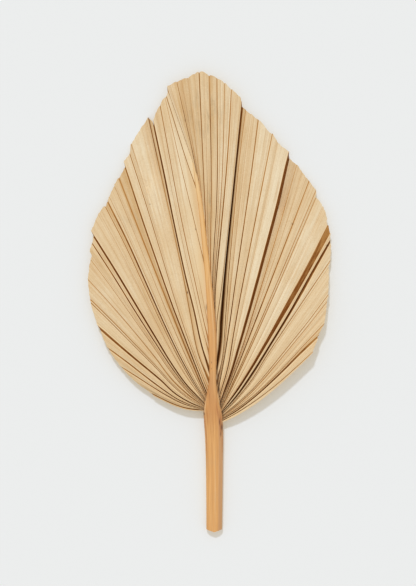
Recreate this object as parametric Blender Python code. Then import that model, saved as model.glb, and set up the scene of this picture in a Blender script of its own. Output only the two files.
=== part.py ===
"""A dried palm fan, lying on a table with its pleated blade spread and its stalk cut short.

The blade is one thin sheet, folded into grooves that run from the stalk to a trimmed edge.
The stalk thins into a midrib that runs up into the blade, and the blade grows from its two sides.

Sizes below are in millimetres and angles in degrees. The pleats gather at the origin, +Y runs up the
fan and +Z up from the table. A fold is placed by the angle of its outer end, clockwise from +Y, and by
that end's reach from the origin. Its root is a place along the fan, on the edge of the midrib. Both
parts are then moved, so that the part's own origin lies on the table under the middle of its outline.
"""

import math
import random
from bisect import bisect_right
from collections import namedtuple

import bmesh
import bpy
from mathutils import Vector

MM = 0.001
SEED = 7
OUTLINE_CENTRE = Vector((-3.55, 97.04, 0.0))

SHEET = 0.6  # thickness of the blade, square to its surface
CLEARANCE = 0.3  # from the blade's root to the stalk's side
TIP_RELIEF = 2.5  # the midrib stops this much short of where its two sides would meet the blade
STATIONS = 7  # spans of the blade from root to cut edge
CROWDING = 1.25  # above 1, the spans shorten towards the root
WIDE_FACE = 5.0  # a face has a crown along it for each such width at the cut edge
LONG_ROOT = 28.0  # a face has one more crown for each such stretch of midrib that it grows from
CROWN_RISE = 0.5
TIP_FACE_SHARES = (0.4, 0.8, 1.0)  # crowns of the face that wraps the midrib's tip
CUT_ROUGHNESS = 0.4  # how far the shears strayed from the cut's line
WALL_SHARE = 0.32  # at the root, how much of the way to the next groove a wall takes
STEEPEST = 2.2  # rise over run of the steepest wall

ROOT_HEIGHT = 8.8  # of the blade's top face where it leaves the midrib
ARCH = 1.2  # how far the blade bows up between midrib and cut edge
HOVER = 0.3  # least gap under the blade, except where it rests
# Height of the faces at the cut edge, by angle.
RIM_HEIGHTS = (
    (-78.0, 7.5),
    (-65.0, 8.2),
    (-55.0, 8.2),
    (-45.0, 7.2),
    (-35.0, 6.4),
    (-20.5, 5.6),
    (-18.0, 3.8),
    (-17.2, 0.0),
    (-12.9, 0.0),
    (-12.4, 4.2),
    (-11.9, 6.2),
    (-8.9, 5.6),
    (-8.4, 6.2),
    (-8.0, 7.8),
    (5.1, 8.2),
    (6.2, 6.2),
    (16.4, 5.8),
    (16.9, 0.0),
    (18.8, 0.0),
    (20.8, 3.8),
    (28.0, 5.2),
    (35.0, 7.0),
    (45.0, 10.0),
    (55.0, 13.0),
    (61.0, 15.0),
)
# The two faces whose undersides lie flat on the table at the cut edge, by angle.
RESTING_FACES = ((-17.2, -12.9), (16.9, 18.8))
RESTING_SPANS = 1  # how many spans in from the cut edge they stay flat

# The grooves, clockwise from the lower left. Where the last value but one is negative, the fold stands
# up as a ridge.
Groove = namedtuple("Groove", "angle left_reach reach right_reach left_wall right_wall depth root")
GROOVES = (
    Groove(-76.5, 56.5, 57.5, 60.0, 0.9, 1.1, 2.4, -1.4),
    Groove(-65.7, 90.5, 92.0, 94.0, 0.9, 0.9, 1.8, -1.0),
    Groove(-60.2, 108.5, 110.5, 112.5, 1.1, 1.1, 2.4, -0.5),
    Groove(-55.0, 124.0, 126.0, 131.0, 1.3, 2.0, 3.6, 0.0),
    Groove(-49.2, 146.5, 147.0, 147.5, 0.7, 0.7, 1.4, 0.6),
    Groove(-48.4, 149.5, 149.5, 151.0, 0.8, 0.8, 1.6, 1.2),
    Groove(-44.2, 163.0, 163.5, 164.5, 0.7, 0.7, 1.5, 1.9),
    Groove(-39.5, 175.5, 175.5, 176.0, 0.5, 0.5, 1.0, 2.6),
    Groove(-38.4, 178.0, 178.5, 181.5, 0.5, 0.5, 1.0, 3.2),
    Groove(-36.3, 186.0, 186.5, 187.5, 0.9, 0.9, 1.8, 3.9),
    Groove(-34.8, 190.0, 190.5, 196.5, 1.3, 1.4, 3.6, 4.6),
    Groove(-30.2, 206.5, 206.0, 206.5, 0.5, 0.5, 1.0, 5.8),
    Groove(-28.2, 209.5, 207.5, 208.5, 0.8, 0.8, 1.6, 6.6),
    Groove(-27.1, 211.0, 211.5, 213.5, 1.3, 1.3, 2.8, 7.4),
    Groove(-26.2, 214.5, 214.0, 215.0, 0.6, 0.6, 1.2, 8.4),
    Groove(-24.0, 221.5, 221.0, 223.0, 0.6, 0.6, 1.2, 9.8),
    Groove(-22.3, 226.5, 226.0, 227.0, 0.8, 0.9, 1.6, 11.2),
    Groove(-20.1, 233.0, 233.5, 239.5, 1.2, 1.2, 2.6, 13.2),
    Groove(-18.2, 243.5, 244.5, 246.0, 0.8, 0.8, 1.6, 16.2),
    Groove(-17.3, 252.5, 252.5, 253.0, 0.5, 0.5, -0.8, 19.2),
    Groove(-12.6, 271.8, 271.8, 271.0, 0.5, 0.5, 1.0, 24.0),
    Groove(-11.9, 267.5, 263.0, 269.5, 1.2, 1.3, 3.8, 33.0),
    Groove(-10.9, 275.0, 274.5, 275.5, 0.4, 0.4, 0.8, 50.0),
    Groove(-10.0, 279.5, 280.0, 281.5, 0.8, 0.8, 1.6, 60.0),
    Groove(-9.2, 285.0, 285.0, 285.5, 0.4, 0.4, -0.6, 75.0),
    Groove(-8.85, 286.5, 286.5, 286.5, 0.4, 0.4, 0.8, 132.0),
    Groove(-8.6, 287.0, 287.0, 288.0, 0.7, 0.7, 1.4, 199.0),
    Groove(-8.2, 290.0, 293.5, 296.0, 0.4, 0.4, 1.0, 221.5),
    Groove(-6.4, 299.5, 299.0, 299.5, 0.6, 0.6, 1.2, 204.0),
    Groove(-5.6, 300.5, 300.0, 300.5, 0.4, 0.4, 0.8, 197.0),
    Groove(-4.4, 302.0, 301.5, 302.0, 0.4, 0.4, 0.6, 184.0),
    Groove(-2.45, 306.0, 305.0, 306.5, 1.0, 1.0, 2.2, 154.0),
    Groove(-1.6, 306.5, 306.0, 306.0, 0.4, 0.4, 0.8, 136.0),
    Groove(-0.7, 303.0, 302.5, 303.0, 0.7, 0.7, 1.4, 120.0),
    Groove(0.6, 301.0, 300.5, 300.0, 0.8, 0.8, 1.6, 104.0),
    Groove(1.2, 298.5, 298.0, 298.5, 0.5, 0.5, 1.0, 95.0),
    Groove(1.95, 296.0, 295.5, 296.0, 0.7, 0.7, 1.4, 85.0),
    Groove(3.2, 291.5, 290.5, 290.5, 0.9, 0.9, 1.8, 75.0),
    Groove(4.95, 284.0, 283.5, 283.0, 0.5, 0.4, 1.0, 50.0),
    Groove(5.4, 281.0, 276.0, 275.0, 1.3, 1.4, 5.0, 33.0),
    Groove(6.15, 273.5, 273.0, 272.5, 0.6, 0.6, 1.2, 20.0),
    Groove(7.2, 270.5, 270.0, 270.3, 0.5, 0.5, 0.8, 17.0),
    Groove(8.8, 266.5, 266.0, 265.5, 0.9, 0.9, 1.8, 14.5),
    Groove(11.2, 257.5, 257.3, 257.0, 0.4, 0.4, -0.5, 11.5),
    Groove(12.1, 255.8, 255.5, 255.5, 0.8, 0.8, 1.6, 9.4),
    Groove(13.6, 249.3, 249.0, 248.7, 0.4, 0.4, 0.6, 7.4),
    Groove(16.8, 243.5, 239.0, 238.5, 1.8, 0.6, 1.0, 4.6),
    Groove(18.9, 235.0, 234.8, 234.8, 0.5, 0.5, -0.6, 3.2),
    Groove(20.8, 229.8, 229.5, 229.3, 0.5, 0.5, 0.8, 2.2),
    Groove(22.8, 225.0, 224.5, 224.0, 0.9, 0.9, 1.8, 1.2),
    Groove(25.2, 219.5, 219.0, 218.0, 0.7, 0.7, 1.4, 0.2),
    Groove(25.95, 214.0, 213.5, 214.0, 0.7, 0.7, 1.4, -0.5),
    Groove(28.4, 209.5, 209.0, 209.5, 0.4, 0.4, 0.6, -1.3),
    Groove(31.0, 201.5, 200.5, 199.5, 0.4, 0.4, -0.4, -2.0),
    Groove(33.4, 197.0, 192.3, 191.5, 4.9, 1.3, 3.0, -2.8),
    Groove(34.9, 187.0, 185.5, 184.5, 1.3, 1.3, 3.2, -3.7),
    Groove(38.3, 172.0, 171.0, 170.0, 0.7, 0.7, 1.5, -4.7),
    Groove(39.2, 166.5, 166.0, 164.5, 0.6, 0.6, 1.2, -5.4),
    Groove(45.2, 147.0, 146.5, 146.5, 0.7, 0.7, 1.5, -6.3),
    Groove(46.6, 142.5, 142.0, 141.0, 0.6, 0.6, 1.3, -7.0),
    Groove(49.3, 134.8, 134.5, 134.0, 0.4, 0.4, 0.6, -7.7),
    Groove(52.4, 127.5, 126.5, 126.0, 0.7, 0.7, 1.5, -8.4),
    Groove(55.4, 116.5, 114.5, 113.5, 1.6, 1.3, 2.7, -9.3),
    Groove(60.0, 103.7, 103.3, 103.0, 0.6, 0.6, 1.2, -10.6),
)
Margin = namedtuple("Margin", "angle reach root")
LEFT_MARGIN = Margin(-78.2, 55.5, -2.0)
RIGHT_MARGIN = Margin(60.9, 101.2, -12.2)

# How far the folds stray to the left of the straight line from root to outer end, looking outwards, in
# hundredths of that line's length: by the fold's angle, at each of the places along it.
BOW_PLACES = (0.12, 0.25, 0.4, 0.6, 0.8)
BOWS = (
    (-78.0, 3.4, 6.0, 7.4, 6.3, 3.5),
    (-76.5, 2.6, 5.1, 6.4, 5.6, 3.1),
    (-65.7, 2.7, 4.7, 4.8, 3.5, 1.6),
    (-60.2, 3.3, 5.1, 4.7, 3.2, 1.3),
    (-55.0, 3.0, 4.3, 2.9, 2.1, 1.2),
    (-49.2, 2.5, 3.2, 2.1, 1.3, 0.5),
    (-44.2, 2.4, 3.2, 1.8, 0.6, 0.0),
    (-36.3, 2.5, 3.0, 2.6, 1.8, 0.7),
    (-34.8, 2.4, 2.9, 2.3, 1.4, 0.5),
    (-27.1, 1.1, 1.6, 1.4, 0.6, -0.1),
    (-22.3, 0.3, 0.5, 0.5, 0.4, 0.3),
    (-20.1, 0.4, 0.7, 1.0, 0.9, 0.6),
    (-18.2, 0.6, 1.0, 1.0, 0.5, 0.1),
    (-12.6, 1.6, 1.2, 0.6, 0.35, 0.2),
    (-11.9, 0.8, 0.7, 1.0, 0.8, 0.3),
    (-10.0, 0.3, 0.5, 0.8, 0.8, 0.4),
    (-9.2, 0.0, 0.0, 0.1, 0.2, 0.1),
    (-8.85, 0.0, 0.0, 0.1, 0.2, 0.1),
    (-8.6, 0.2, 0.5, 0.6, 0.4, 0.1),
    (-8.2, -0.3, -0.3, -0.3, -0.2, 0.0),
    (-6.4, -0.4, -0.6, -0.6, -0.4, -0.2),
    (-5.6, -0.4, -0.6, -0.6, -0.4, -0.2),
    (-2.45, 0.0, 0.0, 0.0, 0.0, 0.0),
    (0.6, 0.0, -0.4, -1.0, -1.0, -0.5),
    (1.95, 0.5, 0.3, -0.3, -0.7, -0.5),
    (3.2, 1.0, 0.95, 0.45, -0.1, -0.3),
    (4.95, 0.9, 0.4, 0.1, 0.0, 0.0),
    (5.4, -0.4, 0.15, 0.4, 0.25, 0.1),
    (6.15, -1.0, -0.6, -0.1, 0.2, 0.4),
    (8.8, -0.5, -0.65, -0.5, -0.5, -0.4),
    (12.1, -1.0, -0.6, -0.3, -0.2, -0.1),
    (16.8, -1.1, -1.35, -1.45, -1.3, -1.0),
    (18.9, -0.8, -1.4, -1.3, -1.1, -0.7),
    (22.8, -0.3, -0.4, -0.4, -0.3, -0.2),
    (25.4, -0.4, -0.6, -0.6, -0.5, -0.2),
    (31.0, -1.3, -2.2, -2.5, -2.1, -1.3),
    (33.4, -1.6, -2.3, -2.4, -2.1, -1.2),
    (34.9, -1.8, -2.3, -2.3, -1.9, -0.7),
    (38.3, -1.9, -2.5, -1.5, -0.9, -0.4),
    (45.2, -2.0, -3.3, -3.2, -2.4, -1.5),
    (52.4, -2.2, -3.5, -3.7, -2.8, -1.3),
    (55.4, -2.3, -3.2, -3.3, -2.4, -0.9),
    (60.0, -2.0, -3.2, -3.8, -3.4, -1.9),
    (60.9, -2.7, -4.3, -5.0, -4.4, -2.5),
)

# The stalk and midrib: place along the fan, left edge, right edge, underside, top.
STALK_OUTLINE = (
    (-110.0, -6.6, 7.9, 0.0, 7.6),
    (-84.0, -6.7, 8.3, 0.0, 8.2),
    (-56.0, -7.0, 8.6, 0.2, 8.8),
    (-29.0, -7.7, 8.9, 0.6, 9.6),
    (-15.0, -8.6, 8.8, 0.9, 10.4),
    (-6.4, -9.1, 8.6, 1.1, 11.0),
    (-0.9, -9.2, 7.4, 1.4, 11.2),
    (7.3, -7.8, 5.8, 2.4, 11.2),
    (16.4, -5.9, 3.9, 3.8, 11.1),
    (25.5, -4.3, 2.9, 5.0, 11.0),
    (34.6, -3.9, 2.8, 5.6, 11.0),
    (52.8, -4.6, 3.1, 5.9, 11.0),
    (71.0, -5.1, 2.6, 6.2, 11.0),
    (109.2, -7.0, -0.9, 6.4, 11.0),
    (143.8, -9.9, -4.9, 6.5, 10.8),
    (180.2, -13.4, -9.1, 6.8, 10.6),
    (207.5, -17.1, -13.6, 7.2, 10.2),
    (217.0, -18.3, -16.3, 7.6, 9.8),
    (226.0, -19.6, -19.4, 8.0, 9.4),
)
STALK_RINGS = 56
STALK_CUT_POINT = 2.4  # the shears left the middle of the cut end this much longer
# One ring of the stalk, anticlockwise from its right side: share of the half width, share of the height.
STALK_SECTION = (
    (1.0, 0.42),
    (0.98, 0.66),
    (0.82, 0.88),
    (0.45, 0.98),
    (0.0, 1.0),
    (-0.45, 0.98),
    (-0.82, 0.88),
    (-0.98, 0.66),
    (-1.0, 0.42),
    (-0.86, 0.14),
    (-0.52, 0.0),
    (0.52, 0.0),
    (0.86, 0.14),
)
STALK_END = STALK_OUTLINE[0][0]
MIDRIB_TIP = STALK_OUTLINE[-1][0]
LAST_LEFT_FOLD = -8.6  # folds from here to the left grow from the midrib's left side

LEAF_COLOUR = (0.68, 0.50, 0.30)
STALK_COLOUR = (0.70, 0.37, 0.12)

# One line of the blade from the midrib out: ends in plan, angle, drop below the faces, and rise.
Fold = namedtuple("Fold", "root rim angle drop resting")


def between(guides, place):
    """The value at a place, read straight between the guides on its two sides."""
    place = min(max(place, guides[0][0]), guides[-1][0])
    upper = min(bisect_right([guide[0] for guide in guides], place), len(guides) - 1)
    (low, first), (high, second) = guides[upper - 1], guides[upper]
    return first + (second - first) * (place - low) / (high - low)


def smooth_row(rows, place):
    """The rows' other values at a place, on smooth curves through all of them."""
    places = [row[0] for row in rows]
    i = min(max(bisect_right(places, place) - 1, 0), len(rows) - 2)
    span = places[i + 1] - places[i]
    t = min(max((place - places[i]) / span, 0.0), 1.0)
    before, after = max(i - 1, 0), min(i + 2, len(rows) - 1)
    values = []
    corners = zip(rows[before][1:], rows[i][1:], rows[i + 1][1:], rows[after][1:])
    for low_before, low, high, high_after in corners:
        start = (high - low_before) / (places[i + 1] - places[before]) * span
        end = (high_after - low) / (places[after] - places[i]) * span
        values.append(
            low * (2 * t**3 - 3 * t**2 + 1)
            + start * (t**3 - 2 * t**2 + t)
            + high * (3 * t**2 - 2 * t**3)
            + end * (t**3 - t**2)
        )
    return values


def in_plan(angle, reach):
    turn = math.radians(angle)
    return Vector((reach * math.sin(turn), reach * math.cos(turn)))


def root_in_plan(distance):
    """A place on the blade's root, by its distance from the midrib's tip: negative on the left side."""
    along = MIDRIB_TIP - abs(distance)
    left, right = smooth_row(STALK_OUTLINE, along)[:2]
    if distance < 0:
        return Vector((left - CLEARANCE, along))
    if distance > 0:
        return Vector((right + CLEARANCE, along))
    return Vector((left, along + 2 * CLEARANCE))


def tip_distance(angle, root):
    return root - MIDRIB_TIP if angle <= LAST_LEFT_FOLD else MIDRIB_TIP - root


def is_resting(angle):
    return any(low <= angle <= high for low, high in RESTING_FACES)


def folds_of_groove(groove, before, distance, after):
    """The groove's left crest, its floor and its right crest, between its neighbours' roots."""
    drops = (0.0, groove.depth, 0.0)
    walls = (-groove.left_wall, 0.0, groove.right_wall)
    reaches = (groove.left_reach, groove.reach, groove.right_reach)
    roots = (
        distance - WALL_SHARE * min(distance - before, LONG_ROOT / 2),
        distance,
        distance + WALL_SHARE * min(after - distance, LONG_ROOT / 2),
    )
    for drop, wall, reach, root in zip(drops, walls, reaches, roots):
        angle = groove.angle + math.degrees(wall / reach)
        yield root, angle, reach, drop


def folds_of_face(start, end):
    """The crowns along a face between two crests, as many as its width and its root ask for."""
    (root, angle, reach, _), (next_root, next_angle, next_reach, _) = start, end
    width = math.radians(next_angle - angle) * (reach + next_reach) / 2
    count = max(int(width / WIDE_FACE), int((next_root - root) / LONG_ROOT))
    shares = [i / (count + 1) for i in range(1, count + 1)]
    middles = [root + (next_root - root) * share for share in shares]
    if root < 0 < next_root:
        shares, middles = TIP_FACE_SHARES, [root * (1 - share) for share in TIP_FACE_SHARES]
    for share, middle in zip(shares, middles):
        yield (
            middle,
            angle + (next_angle - angle) * share,
            reach + (next_reach - reach) * share,
            -CROWN_RISE,
        )


def fold_lines():
    """Every line the blade is folded or bowed along, clockwise from its lower left margin."""
    wander = random.Random(SEED)
    distances = [tip_distance(groove.angle, groove.root) for groove in GROOVES]
    first = tip_distance(LEFT_MARGIN.angle, LEFT_MARGIN.root)
    last = tip_distance(RIGHT_MARGIN.angle, RIGHT_MARGIN.root)
    lines = [(first, LEFT_MARGIN.angle, LEFT_MARGIN.reach, 0.0)]
    for groove, before, distance, after in zip(
        GROOVES, [first] + distances, distances, distances[1:] + [last]
    ):
        crests = list(folds_of_groove(groove, before, distance, after))
        lines += folds_of_face(lines[-1], crests[0])
        lines += crests
    end = (last, RIGHT_MARGIN.angle, RIGHT_MARGIN.reach, 0.0)
    lines += folds_of_face(lines[-1], end)
    lines.append(end)
    folds = []
    for distance, angle, reach, drop in lines:
        reach += wander.uniform(-CUT_ROUGHNESS, CUT_ROUGHNESS)
        resting = is_resting(angle)
        drop = 0.0 if resting else drop
        folds.append(Fold(root_in_plan(distance), in_plan(angle, reach), angle, drop, resting))
    return folds


def bow_rows(angle):
    """Rows of a place along a fold and how far it bows there, as shares of the fold's length."""
    bows = [between([(row[0], row[i]) for row in BOWS], angle) for i in range(1, len(BOWS[0]))]
    return [(0.0, 0.0)] + [(place, bow / 100) for place, bow in zip(BOW_PLACES, bows)] + [(1.0, 0.0)]


def plan_of(folds):
    """Rows of places in plan, one row along each fold from the root to the cut edge."""
    shares = [(i / STATIONS) ** CROWDING for i in range(STATIONS + 1)]
    plan = []
    for fold in folds:
        chord = fold.rim - fold.root
        left = Vector((-chord.y, chord.x))
        rows = bow_rows(fold.angle)
        plan.append([fold.root + chord * share + left * smooth_row(rows, share)[0] for share in shares])
    return shares, plan


def top_heights(folds, shares, plan):
    """Height of the top face at each place of the plan."""
    heights = []
    for k, fold in enumerate(folds):
        rim_height = between(RIM_HEIGHTS, fold.angle)
        row = []
        for j, share in enumerate(shares):
            face = ROOT_HEIGHT + (rim_height - ROOT_HEIGHT) * share + ARCH * 4 * share * (1 - share)
            near = min(
                (plan[k][j] - plan[n][j]).length for n in (k - 1, k + 1) if 0 <= n < len(folds)
            )
            drop = math.copysign(min(abs(fold.drop), STEEPEST * near), fold.drop)
            row.append(face - drop)
        heights.append(row)
    return heights


def triangles_of_grid(columns, rows):
    """Each cell of the grid as two triangles, as pairs of places, facing up."""
    for k in range(columns - 1):
        for j in range(rows - 1):
            yield (k, j), (k + 1, j), (k + 1, j + 1)
            yield (k, j), (k + 1, j + 1), (k, j + 1)


def upright_thickness(plan, heights):
    """Thickness measured straight down at each place, so that the steepest face there is a sheet thick."""
    thickness = [[SHEET] * len(row) for row in plan]
    for corners in triangles_of_grid(len(plan), len(plan[0])):
        a, b, c = (Vector((*plan[k][j], heights[k][j])) for k, j in corners)
        normal = (b - a).cross(c - a).normalized()
        upright = SHEET / max(normal.z, 1 / math.hypot(1, STEEPEST + 0.5))
        for k, j in corners:
            thickness[k][j] = max(thickness[k][j], upright)
    return thickness


def blade_mesh():
    folds = fold_lines()
    shares, plan = plan_of(folds)
    heights = top_heights(folds, shares, plan)
    thickness = upright_thickness(plan, heights)
    shape = bmesh.new()
    tops, undersides = [], []
    for fold, places, tops_here, thick_here in zip(folds, plan, heights, thickness):
        top_row, under_row = [], []
        for j, (place, height, thick) in enumerate(zip(places, tops_here, thick_here)):
            lies = fold.resting and j >= STATIONS - RESTING_SPANS
            height = thick if lies else max(height, thick + HOVER)
            top_row.append(shape.verts.new(Vector((*place, height)) * MM))
            under_row.append(shape.verts.new(Vector((*place, height - thick)) * MM))
        tops.append(top_row)
        undersides.append(under_row)
    for corners in triangles_of_grid(len(folds), len(shares)):
        shape.faces.new([tops[k][j] for k, j in corners])
        shape.faces.new([undersides[k][j] for k, j in reversed(corners)])
    outline = [(k, 0) for k in range(len(folds))]
    outline += [(len(folds) - 1, j) for j in range(1, len(shares))]
    outline += [(k, STATIONS) for k in reversed(range(len(folds) - 1))]
    outline += [(0, j) for j in reversed(range(1, STATIONS))]
    for (k, j), (next_k, next_j) in zip(outline, outline[1:] + outline[:1]):
        side = (undersides[k][j], undersides[next_k][next_j], tops[next_k][next_j], tops[k][j])
        shape.faces.new(side[:3])
        shape.faces.new((side[0], side[2], side[3]))
    return shape


def stalk_ring(shape, along, point):
    left, right, under, top = smooth_row(STALK_OUTLINE, along)
    middle, half = (left + right) / 2, (right - left) / 2
    ring = []
    for across, up in STALK_SECTION:
        height = max(under + (top - under) * up, 0.0)
        place = Vector((middle + half * across, along - point * (1 - abs(across)), height))
        ring.append(shape.verts.new(place * MM))
    return ring


def stalk_mesh():
    shape = bmesh.new()
    length = MIDRIB_TIP - TIP_RELIEF - STALK_END
    rings = []
    for i in range(STALK_RINGS + 1):
        point = STALK_CUT_POINT if i == 0 else 0.0
        rings.append(stalk_ring(shape, STALK_END + length * i / STALK_RINGS, point))
    for ring, next_ring in zip(rings, rings[1:]):
        for i in range(len(ring)):
            shape.faces.new((ring[i - 1], next_ring[i - 1], next_ring[i], ring[i]))
    for ring in (rings[0], rings[-1]):
        centre = shape.verts.new(sum((vertex.co for vertex in ring), Vector()) / len(ring))
        for i in range(len(ring)):
            shape.faces.new((centre, ring[i - 1], ring[i]))
    return shape


def add_part(name, shape, colour, roughness, sharp_angle):
    """An object of its own material from a closed shape, which is used up."""
    bmesh.ops.recalc_face_normals(shape, faces=shape.faces)
    mesh = bpy.data.meshes.new(name)
    shape.to_mesh(mesh)
    shape.free()
    mesh.shade_smooth()
    mesh.set_sharp_from_angle(angle=math.radians(sharp_angle))
    material = bpy.data.materials.new(name)
    material.use_nodes = True
    surface = material.node_tree.nodes["Principled BSDF"]
    surface.inputs["Base Color"].default_value = (*colour, 1.0)
    surface.inputs["Roughness"].default_value = roughness
    surface.inputs["Metallic"].default_value = 0.0
    mesh.materials.append(material)
    part = bpy.data.objects.new(name, mesh)
    part.location = -OUTLINE_CENTRE * MM
    bpy.context.scene.collection.objects.link(part)


def main():
    for old in list(bpy.data.objects):
        bpy.data.objects.remove(old)
    add_part("blade", blade_mesh(), LEAF_COLOUR, roughness=0.6, sharp_angle=25)
    add_part("stalk", stalk_mesh(), STALK_COLOUR, roughness=0.5, sharp_angle=50)


main()
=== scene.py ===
"""Looks of a dried palm fan: a finer pleated blade and a fibrous stalk in place of the two plain solids.

Sizes are in millimetres and angles in degrees, as in the part's source. The pleats gather at the origin
of the layout, +Y runs up the fan and +Z up from the table. A fold is placed by the angle of its outer
end, clockwise from +Y, and by that end's reach from the origin. Its root is a place along the fan, on the
edge of the midrib. A fold's distance is how far before the midrib's tip its root lies, with a minus on
the left side.
"""

import math
from bisect import bisect_right
from collections import namedtuple

import bpy
import numpy as np
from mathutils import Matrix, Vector


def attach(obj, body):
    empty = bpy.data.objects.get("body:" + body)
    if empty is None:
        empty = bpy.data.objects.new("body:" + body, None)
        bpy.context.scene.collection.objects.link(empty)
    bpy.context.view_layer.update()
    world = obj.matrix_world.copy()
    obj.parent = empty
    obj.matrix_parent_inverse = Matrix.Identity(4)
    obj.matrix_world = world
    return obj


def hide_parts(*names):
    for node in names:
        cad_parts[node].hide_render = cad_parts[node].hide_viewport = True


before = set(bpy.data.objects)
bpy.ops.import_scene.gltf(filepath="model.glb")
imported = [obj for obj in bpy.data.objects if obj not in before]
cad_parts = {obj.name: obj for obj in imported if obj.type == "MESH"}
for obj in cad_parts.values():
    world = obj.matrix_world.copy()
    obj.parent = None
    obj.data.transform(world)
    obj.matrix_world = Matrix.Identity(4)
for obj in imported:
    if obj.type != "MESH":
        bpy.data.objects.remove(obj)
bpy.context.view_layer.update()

MM = 0.001
SEED = 11
OUTLINE_CENTRE = np.array((-3.55, 97.04, 0.0))  # the place in the layout of the part's own origin

# The layout, as in the part's source apart from two rows of BOWS.
ROOT_HEIGHT = 8.8  # of the blade's top face where it leaves the midrib
ARCH = 1.2  # how far the blade bows up between midrib and cut edge
HOVER = 0.3  # least gap under the blade, except where it rests
WALL_SHARE = 0.32  # at the root, how much of the way to the next groove a wall takes
LONG_ROOT = 28.0  # of that way, at most half of this counts
# Angles at the cut edge between which a face lies on the table.
RESTING_FACES = ((-17.2, -12.9), (16.9, 18.8))
# Height of the faces at the cut edge, by angle.
RIM_HEIGHTS = (
    (-78.0, 7.5), (-65.0, 8.2), (-55.0, 8.2), (-45.0, 7.2), (-35.0, 6.4), (-20.5, 5.6),
    (-18.0, 3.8), (-17.2, 0.0), (-12.9, 0.0), (-12.4, 4.2), (-11.9, 6.2), (-8.9, 5.6),
    (-8.4, 6.2), (-8.0, 7.8), (5.1, 8.2), (6.2, 6.2), (16.4, 5.8), (16.9, 0.0),
    (18.8, 0.0), (20.8, 3.8), (28.0, 5.2), (35.0, 7.0), (45.0, 10.0), (55.0, 13.0),
    (61.0, 15.0),
)

# How far the folds stray to the left of the straight line from root to outer end, looking outwards, in
# hundredths of that line's length: by the fold's angle, at each of the places along it. The rows of 31.0
# and 33.4 degrees bow up to 2 mm further left here than in the part's source.
BOW_PLACES = (0.12, 0.25, 0.4, 0.6, 0.8)
BOWS = (
    (-78.0, 3.4, 6.0, 7.4, 6.3, 3.5),
    (-76.5, 2.6, 5.1, 6.4, 5.6, 3.1),
    (-65.7, 2.7, 4.7, 4.8, 3.5, 1.6),
    (-60.2, 3.3, 5.1, 4.7, 3.2, 1.3),
    (-55.0, 3.0, 4.3, 2.9, 2.1, 1.2),
    (-49.2, 2.5, 3.2, 2.1, 1.3, 0.5),
    (-44.2, 2.4, 3.2, 1.8, 0.6, 0.0),
    (-36.3, 2.5, 3.0, 2.6, 1.8, 0.7),
    (-34.8, 2.4, 2.9, 2.3, 1.4, 0.5),
    (-27.1, 1.1, 1.6, 1.4, 0.6, -0.1),
    (-22.3, 0.3, 0.5, 0.5, 0.4, 0.3),
    (-20.1, 0.4, 0.7, 1.0, 0.9, 0.6),
    (-18.2, 0.6, 1.0, 1.0, 0.5, 0.1),
    (-12.6, 1.6, 1.2, 0.6, 0.35, 0.2),
    (-11.9, 0.8, 0.7, 1.0, 0.8, 0.3),
    (-10.0, 0.3, 0.5, 0.8, 0.8, 0.4),
    (-9.2, 0.0, 0.0, 0.1, 0.2, 0.1),
    (-8.85, 0.0, 0.0, 0.1, 0.2, 0.1),
    (-8.6, 0.2, 0.5, 0.6, 0.4, 0.1),
    (-8.2, -0.3, -0.3, -0.3, -0.2, 0.0),
    (-6.4, -0.4, -0.6, -0.6, -0.4, -0.2),
    (-5.6, -0.4, -0.6, -0.6, -0.4, -0.2),
    (-2.45, 0.0, 0.0, 0.0, 0.0, 0.0),
    (0.6, 0.0, -0.4, -1.0, -1.0, -0.5),
    (1.95, 0.5, 0.3, -0.3, -0.7, -0.5),
    (3.2, 1.0, 0.95, 0.45, -0.1, -0.3),
    (4.95, 0.9, 0.4, 0.1, 0.0, 0.0),
    (5.4, -0.4, 0.15, 0.4, 0.25, 0.1),
    (6.15, -1.0, -0.6, -0.1, 0.2, 0.4),
    (8.8, -0.5, -0.65, -0.5, -0.5, -0.4),
    (12.1, -1.0, -0.6, -0.3, -0.2, -0.1),
    (16.8, -1.1, -1.35, -1.45, -1.3, -1.0),
    (18.9, -0.8, -1.4, -1.3, -1.1, -0.7),
    (22.8, -0.3, -0.4, -0.4, -0.3, -0.2),
    (25.4, -0.4, -0.6, -0.6, -0.5, -0.2),
    (31.0, -1.0, -1.6, -1.7, -1.3, -1.0),
    (33.4, -1.3, -1.7, -1.6, -1.3, -0.9),
    (34.9, -1.8, -2.3, -2.3, -1.9, -0.7),
    (38.3, -1.9, -2.5, -1.5, -0.9, -0.4),
    (45.2, -2.0, -3.3, -3.2, -2.4, -1.5),
    (52.4, -2.2, -3.5, -3.7, -2.8, -1.3),
    (55.4, -2.3, -3.2, -3.3, -2.4, -0.9),
    (60.0, -2.0, -3.2, -3.8, -3.4, -1.9),
    (60.9, -2.7, -4.3, -5.0, -4.4, -2.5),
)

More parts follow.
